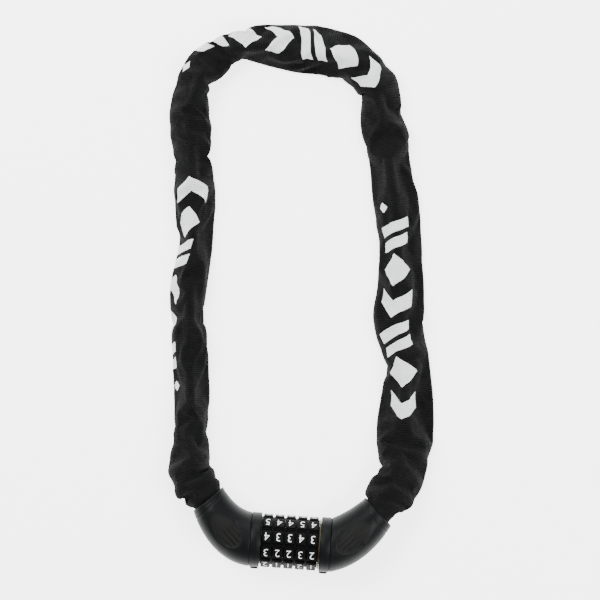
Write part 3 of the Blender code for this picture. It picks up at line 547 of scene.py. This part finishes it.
def build_elbow(side, word, start, body, black):
    """A bent hollow cover that narrows from the collar to its mouth, with a thumb recess above and below."""
    angles = np.linspace(0, math.tau, 176, endpoint=False)
    t = np.linspace(0, 1, 92)
    distance = t * ELBOW_LENGTH
    radius = 0.0187 - 0.0089 * t * t + 0.0034 * t**3
    for place, depth, width in MOUTH_LINES:
        radius = radius - depth * np.exp(-(((distance - place) / width) ** 2))
    outside, spread = elbow_surface(t, radius, angles, side)
    depth = grip_depth(outside, side)
    outside = outside - spread * depth[..., None]
    rim_t = np.ones(4)
    lip, _ = elbow_surface(rim_t, np.array(LIP_RADII), angles, side)
    _, ways = elbow_line(rim_t, side)
    lip = lip + ways[:, None] * np.array(LIP_OUT)[:, None, None]
    inner_t = np.linspace(1, 0, 16)
    inside, _ = elbow_surface(inner_t, 0.0165 - 0.0039 * inner_t, angles, side)
    first, _ = elbow_surface(np.zeros(1), np.array((FIRST_RADIUS,)), angles, side)
    points = np.concatenate([first, outside[1:], lip, inside])
    points[..., 0] *= -side
    points[..., 0] += side * (start + COLLAR_WIDTH + ELBOW_GAP)
    mesh = grid_mesh(f"{word}_elbow_shell", points + np.array(LOCK), True, True, 50)
    recess = np.zeros(points.shape[:2])
    recess[1 : len(depth)] = smoothstep(0.0001, 0.0005, depth[1:])
    layer = mesh.attributes.new("recess", "FLOAT", "POINT")
    layer.data.foreach_set("value", recess.astype(np.float32).ravel())
    link_object(mesh.name, mesh, black, body, f"{word}_elbow_cover", slot="cover_plastic")


# ---- sleeve ----
def curve_through(points, per_piece=12):
    """A dense smooth curve through the points, all columns alike."""
    points = np.array(points)
    padded = np.concatenate([2 * points[:1] - points[1:2], points, 2 * points[-1:] - points[-2:-1]])
    dense = []
    for i in range(1, len(padded) - 2):
        p0, p1, p2, p3 = padded[i - 1 : i + 3]
        for t in np.arange(per_piece) / per_piece:
            bend = (2 * p0 - 5 * p1 + 4 * p2 - p3) * t**2 + (3 * p1 - p0 - 3 * p2 + p3) * t**3
            dense.append(0.5 * (2 * p1 + (p2 - p0) * t + bend))
    return np.array(dense + [points[-1]])


def resampled(dense, count):
    """Evenly spaced rows of the curve and their distances along it."""
    gaps = np.linalg.norm(np.diff(dense[:, :3], axis=0), axis=1)
    lengths = np.concatenate([[0], np.cumsum(gaps)])
    wanted = np.linspace(0, lengths[-1], count)
    return np.stack([np.interp(wanted, lengths, dense[:, k]) for k in range(dense.shape[1])], 1), wanted


# How the sleeve is turned on the chain: the share of the route, and the angle in degrees from the sleeve's top
# towards the outside of the loop at which the middle of the white marks lies.
TWIST = [
    (0, 110),
    (0.19, 110),
    (0.205, 82),
    (0.235, 65),
    (0.255, 50),
    (0.275, 18),
    (0.30, 6),
    (0.33, 30),
    (0.38, 75),
    (0.43, 85),
    (0.458, 42),
    (0.49, 25),
    (0.52, 20),
    (0.55, 0),
    (0.58, -8),
    (0.65, -20),
    (0.72, -15),
    (0.80, -17),
    (0.835, -24),
    (0.87, -12),
    (0.92, -6),
    (1, 0),
]

# Where the cloth is bunched: distance along the route, reach, height of the folds, their spacing and slant.
BUNCHES = [
    (0.016, 0.016, 0.0012, 0.0120, 1.0),
    (0.052, 0.014, 0.0005, 0.0130, -1.0),
    (0.130, 0.020, 0.0004, 0.0170, 1.0),
    (0.232, 0.018, 0.0006, 0.0150, -1.0),
    (0.262, 0.014, 0.0006, 0.0140, 1.0),
    (0.296, 0.016, 0.0010, 0.0130, 1.0),
    (0.330, 0.014, 0.0007, 0.0110, -1.0),
    (0.378, 0.014, 0.0006, 0.0150, 1.0),
    (0.440, 0.014, 0.0010, 0.0120, 1.0),
    (0.478, 0.014, 0.0006, 0.0160, -1.0),
    (0.545, 0.020, 0.0004, 0.0160, 1.0),
    (0.620, 0.018, 0.0006, 0.0150, -1.0),
    (0.690, 0.016, 0.0006, 0.0130, 1.0),
    (0.720, 0.011, 0.0009, 0.0125, -1.0),
]


def gathers(distance, angles):
    """Slanting ridges where the cloth is bunched up on the chain, and low unevenness everywhere."""
    s = distance[:, None]
    found = 0.0003 * np.sin(s * 190 + 2.1 * np.sin(angles)) * np.cos(2 * angles + s * 55)
    for at, reach, height, spacing, slant in BUNCHES:
        # The place along the route also sets where round the sleeve each bunch is highest.
        wave = np.sin(math.tau * s / spacing + slant * 1.6 * np.sin(angles + at * 40))
        ridge = wave * np.cos(angles + at * 90)
        found = found + height * np.exp(-(((s - at) / reach) ** 2)) * ridge
    fade = smoothstep(0.001, 0.008, np.minimum(s, distance[-1] - s))
    return found * fade


def sleeve_grid():
    """Rows of points round the sleeve before it settles, the middle of each row, and its distance along."""
    route, distance = resampled(curve_through(ROUTE), STATIONS)
    route[:, 0] += LOCK.x
    route[:, 1] += LOCK.y
    middle = route[:, :3]
    ways = np.gradient(middle, axis=0)
    ways /= np.linalg.norm(ways, axis=1, keepdims=True)
    # The route runs clockwise, so the left of it is the outside of the loop.
    outside = np.stack([-ways[:, 1], ways[:, 0], np.zeros(len(ways))], 1)
    outside /= np.linalg.norm(outside, axis=1, keepdims=True)
    up = np.cross(ways, outside)
    up *= np.sign(up[:, 2:])
    share = distance / distance[-1]
    twist = np.radians(np.interp(share, *np.array(TWIST).T))
    twist = np.convolve(np.pad(twist, 7, "edge"), np.ones(15) / 15, "valid")
    angles = twist[:, None] + math.tau * (np.arange(COLUMNS) / COLUMNS - 0.5)[None]
    c, s = np.cos(angles), np.sin(angles)
    slim = 1 - SLIM * smoothstep(0, 0.02, np.minimum(distance, distance[-1] - distance))[:, None]
    folds = gathers(distance, angles)
    wide = (route[:, 3:4] * slim + folds) * np.sign(s) * np.abs(s) ** SECTION_POWER
    tall = (route[:, 4:5] * (1 + slim) / 2 + folds) * np.sign(c) * np.abs(c) ** SECTION_POWER
    points = middle[:, None] + outside[:, None] * wide[..., None] + up[:, None] * tall[..., None]
    return points, middle, distance


def simulated(points, middle):
    """The loose cloth settled over the chain and on the table, worked out at ten times its size."""
    scale, frames = 10, 28
    mesh = grid_mesh("cloth", points * scale, False, True, 180)
    cloth = bpy.data.objects.new("cloth", mesh)
    scene = bpy.context.scene
    scene.collection.objects.link(cloth)
    held = cloth.vertex_groups.new(name="held")
    end_rows = (0, 1, 2, STATIONS - 3, STATIONS - 2, STATIONS - 1)
    ends = [i * COLUMNS + j for i in end_rows for j in range(COLUMNS)]
    held.add(ends, 1.0, "REPLACE")
    settings = cloth.modifiers.new("Cloth", "CLOTH").settings
    settings.quality = 6
    settings.mass = 0.25
    settings.tension_stiffness = settings.compression_stiffness = 25
    settings.shear_stiffness = 8
    settings.bending_stiffness = 7
    settings.tension_damping = settings.compression_damping = settings.shear_damping = 12
    settings.bending_damping = 2.0
    settings.air_damping = 2.5
    settings.vertex_group_mass = "held"
    settings.shrink_min = -0.06  # the cloth spreads by this share
    settings.effector_weights.gravity = 0.25
    contact = cloth.modifiers["Cloth"].collision_settings
    contact.collision_quality = 3
    contact.distance_min = 0.006
    contact.use_self_collision = False
    helpers = []
    for name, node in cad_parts.items():
        if name.startswith("chain_link") or name.endswith("elbow_cover"):
            copy = bpy.data.objects.new("solid", node.data.copy())
            copy.data.transform(Matrix.Scale(scale, 4))
            helpers.append(copy)
    table = bpy.data.meshes.new("table")
    corners = [(x * 2.5, y * 3, 0.0) for x, y in ((-1, -1), (1, -1), (1, 1), (-1, 1))]
    table.from_pydata(corners, [], [(0, 1, 2, 3)])
    helpers.append(bpy.data.objects.new("solid", table))
    for helper in helpers:
        scene.collection.objects.link(helper)
        helper.modifiers.new("Collision", "COLLISION")
        helper.collision.thickness_outer = 0.004
        helper.collision.cloth_friction = 8
    cache = cloth.modifiers["Cloth"].point_cache
    cache.frame_start, cache.frame_end = 1, frames
    for i in range(1, frames + 1):
        scene.frame_set(i)
    settled = cloth.evaluated_get(bpy.context.evaluated_depsgraph_get()).to_mesh()
    found = np.empty(len(settled.vertices) * 3)
    settled.vertices.foreach_get("co", found)
    for helper in [*helpers, cloth]:
        bpy.data.objects.remove(helper)
    scene.frame_set(1)
    return found.reshape(points.shape) / scale


def along_route(middle, distance, x, y):
    """Distance along the route of the place nearest a point given from the middle dial."""
    nearest = np.argmin(np.hypot(middle[:, 0] - LOCK.x - x, middle[:, 1] - LOCK.y - y))
    return float(distance[nearest])


# Where each group of marks starts, from the middle dial, and how far along the route the sleeve's pieces meet.
MARK_STARTS = ((-0.0800, 0.1105), (-0.0835, 0.3240), (0.0560, 0.2267))
SLEEVE_CUTS = (0.150, 0.395)
# Each piece, the CAD node it stands for, its two bodies, and where it turns from the one to the other.
SLEEVE_PIECES = [
    ("sleeve_lower_left", "sleeve_left", "dial_half", "chain_left", (-0.0514, -0.1426, 0), (-0.068, -0.113, 0)),
    ("sleeve_upper_left", "sleeve_top", "chain_left", "chain_top", (-0.079, 0.152, 0), (-0.033, 0.173, 0)),
    ("sleeve_right_run", "sleeve_right", "chain_top", "chain_right", (0.044, 0.150, 0), (0.057, 0.100, 0)),
]


def build_sleeve():
    """One settled surface, given its thickness and cut where the chain's bodies meet."""
    points, middle, distance = sleeve_grid()
    points = simulated(points, middle)
    woven = fabric([along_route(middle, distance, x, y) for x, y in MARK_STARTS])
    cuts = [0, *(station_at(distance, metres) for metres in SLEEVE_CUTS), STATIONS - 1]
    normals = grid_normals(points)
    for (name, node, a, b, start, end), low, high in zip(SLEEVE_PIECES, cuts, cuts[1:]):
        rows = np.arange(low, high + 1)
        both = np.concatenate([rows, rows[::-1]])
        depth = np.where(np.arange(len(both)) < len(rows), 0, CLOTH)[:, None, None]
        mesh = sleeve_mesh(name, points[both] - normals[both] * depth, distance[both])
        mesh.materials.append(woven)
        facing = np.where(depth > 0, -1, 1) * normals[both]
        mesh.normals_split_custom_set_from_vertices(facing.reshape(-1, 3).tolist())
        obj = bpy.data.objects.new(name, mesh)
        bpy.context.scene.collection.objects.link(obj)
        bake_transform(obj)
        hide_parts(node)


def station_at(distance, metres):
    return int(np.argmin(np.abs(distance - metres)))


def grid_normals(points):
    """Outward normals of the whole sleeve, so that its pieces are shaded as one."""
    along = np.gradient(points, axis=0)
    around = np.roll(points, -1, 1) - np.roll(points, 1, 1)
    normals = np.cross(around, along)
    normals /= np.linalg.norm(normals, axis=2, keepdims=True) + 1e-12
    away = points - points.mean(1, keepdims=True)
    return normals * np.sign((normals * away).sum(2).mean())


def sleeve_mesh(name, points, distance):
    """The piece's quads, with the cloth's own coordinates in metres on each corner."""
    rows, columns = points.shape[:2]
    mesh = grid_mesh(name, points, True, True, 180)
    layer = mesh.uv_layers.new(name="cloth")
    at = np.empty(len(mesh.loops), int)
    mesh.loops.foreach_get("vertex_index", at)
    row, column = at // columns, at % columns
    start = np.empty(len(mesh.polygons), int)
    mesh.polygons.foreach_get("loop_start", start)
    # A face that crosses the seam counts its first column as one past the last.
    face = np.repeat(np.arange(len(start)), 4)
    crosses = (np.maximum.reduceat(column, start) - np.minimum.reduceat(column, start) > 1)[face]
    column = np.where(crosses & (column == 0), columns, column)
    across = (column / columns - 0.5) * FLAT_WIDTH
    layer.data.foreach_set("uv", np.stack([across, distance[row]], 1).astype(np.float32).ravel())
    return mesh


# ---- surroundings ----
# Soft lamps: place, size in metres and power in watts.
LAMPS = (((-0.9, 0.5, 1.3), 0.9, 45), ((0.9, -0.4, 1.3), 0.9, 35), ((0, 1.2, 0.8), 0.8, 15))
# The dome's strength at two heights: bright near the horizon, and dimmer overhead so that edges show.
DOME_LOW, DOME_HIGH, DOME_BRIGHT, DOME_DIM = 0.55, 0.97, 5.2, 0.8
FLOOR_GLOW = 3.0
CAMERA_PLACE, CAMERA_TURN, CAMERA_LENS = (0.0015, -0.0008, 2.0), math.radians(4.3), 172.3


def build_surroundings():
    """A white floor, a soft dome with three lamps, and a camera straight above."""
    mesh = bpy.data.meshes.new("floor")
    corners = [(x * 4, y * 4, -0.0002) for x, y in ((-1, -1), (1, -1), (1, 1), (-1, 1))]
    mesh.from_pydata(corners, [], [(0, 1, 2, 3)])
    n = Nodes("floor_white", (0.93, 0.93, 0.93), 0.8)
    n.put(n.shader.inputs["Roughness"], n.ramp(n.noise(n.position(), 30), 0.3, 0.7, 0.75, 0.85))
    n.put(n.shader.inputs["Emission Color"], (1, 1, 1, 1))
    n.put(n.shader.inputs["Emission Strength"], FLOOR_GLOW)
    floor = link_object("floor", mesh, n.material, None)
    world = bpy.data.worlds.new("studio")
    world.use_nodes = True
    tree = world.node_tree
    way = tree.nodes.new("ShaderNodeSeparateXYZ")
    tree.links.new(tree.nodes.new("ShaderNodeTexCoord").outputs["Generated"], way.inputs[0])
    dome = tree.nodes.new("ShaderNodeMapRange")
    tree.links.new(way.outputs["Z"], dome.inputs["Value"])
    for key, value in enumerate((DOME_LOW, DOME_HIGH, DOME_BRIGHT, DOME_DIM), 1):
        dome.inputs[key].default_value = value
    tree.links.new(dome.outputs[0], tree.nodes["Background"].inputs["Strength"])
    bpy.context.scene.world = world
    for place, size, energy in LAMPS:
        lamp = bpy.data.lights.new("softbox", "AREA")
        lamp.size, lamp.energy = size, energy
        obj = bpy.data.objects.new("softbox", lamp)
        obj.location = place
        obj.rotation_euler = (-Vector(place)).to_track_quat("-Z", "Y").to_euler()
        bpy.context.scene.collection.objects.link(obj)
    lens = bpy.data.cameras.new("camera")
    lens.lens = CAMERA_LENS
    camera = bpy.data.objects.new("camera", lens)
    camera.location = CAMERA_PLACE
    camera.rotation_euler = (0, 0, CAMERA_TURN)
    bpy.context.scene.collection.objects.link(camera)
    bpy.context.scene.camera = camera


def dress_inner_metal(steel, zinc, brass, gap_shade_metal):
    """The CAD nodes that can be seen through gaps or with the lock open."""
    for name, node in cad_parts.items():
        finish = steel
        # The code rings and core tube get a near-black metal so that the gaps between the dials show dark:
        # painted shade in the gaps.
        if name.startswith(("code_ring", "core_tube")):
            finish = gap_shade_metal
        elif name == "end_plate":
            finish = brass
        elif name == "reset_cam" or name.endswith("anchor"):
            finish = zinc
        node.data.materials.clear()
        node.data.materials.append(finish)


def main():
    cover = plastic("cover_black", COVER_BLACK, COVER_ROUGHNESS, 0.00003, COVER_GLOSS)
    satin = recess_plastic()
    dial = plastic("dial_black", DIAL_BLACK, 0.40, 0.00002, 0.06)
    white = plastic("numeral_white", (0.84, 0.85, 0.86), 0.5, 0.00001, 0.10)
    steel = metal("plated_steel", (0.42, 0.42, 0.43), 0.34)
    zinc = metal("cast_zinc", (0.40, 0.39, 0.36), 0.42)
    shoulder = plastic("dial_shoulder", DIAL_BLACK, 0.50, 0.00002, 0.04)
    # Near-black metal for the parts seen in the gaps between the dials: painted shade.
    gap_shade_metal = metal("zinc_painted_gap_shade", (0.035, 0.036, 0.037), 0.5)
    brass = metal("dull_brass", (0.060, 0.052, 0.030), 0.5)
    dress_inner_metal(steel, zinc, brass, gap_shade_metal)
    # The grooves' darker colour is painted shade in the grooves; the plastic is the dials' own.
    groove = plastic("dial_groove_painted_shade", GROOVE_SHADE_BLACK, 0.60, 0.00002, 0.04)
    build_dials(dial, shoulder, groove, white)
    for side, word, start, body in (
        (-1, "left", LEFT_COLLAR, "dial_half"),
        (1, "right", RIGHT_COLLAR, "bolt_half"),
    ):
        build_collar(side, word, start, body, cover)
        build_elbow(side, word, start, body, satin)
    build_sleeve()
    build_surroundings()


main()
